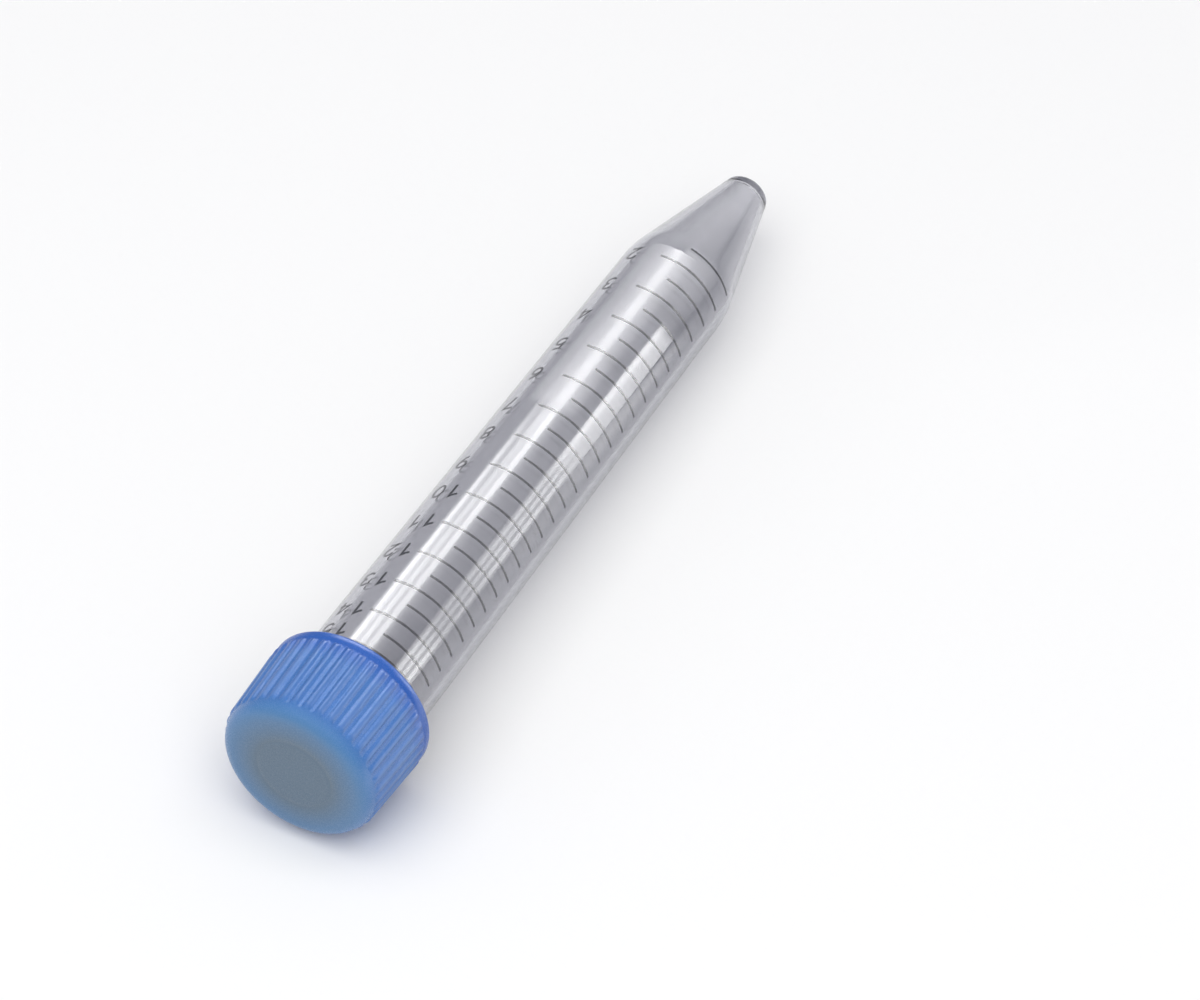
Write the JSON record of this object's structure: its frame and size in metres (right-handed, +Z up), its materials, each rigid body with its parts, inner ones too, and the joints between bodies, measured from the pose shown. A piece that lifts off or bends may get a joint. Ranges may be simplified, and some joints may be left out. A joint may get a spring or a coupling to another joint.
{
  "type": "15 ml conical tube",
  "caption": "Clear plastic conical centrifuge tube with a printed volume scale and a blue ribbed screw cap, lying on its side.",
  "frame": {"origin": "on the surface that the tube lies on, under the middle of its length and on its centre line", "axes": "+Y along the length from the cap towards the point, +Z up; the axis of the tube leans 2.2 degrees from Y, higher at the cap"},
  "size_m": [0.0224, 0.1218, 0.0224],
  "materials": {
    "clear_tube": "gloss",
    "blue_cap": "satin",
    "scale_ink": "gloss"
  },
  "bodies": {
    "tube": {"tube": "clear_tube"},
    "cap": {"cap": "blue_cap"}
  },
  "joints": [
    {"name": "cap_lift", "type": "slide", "parent": "tube", "child": "cap", "axis": [0, -0.9993, 0.038], "range_m": [0, 0.032]}
  ]
}
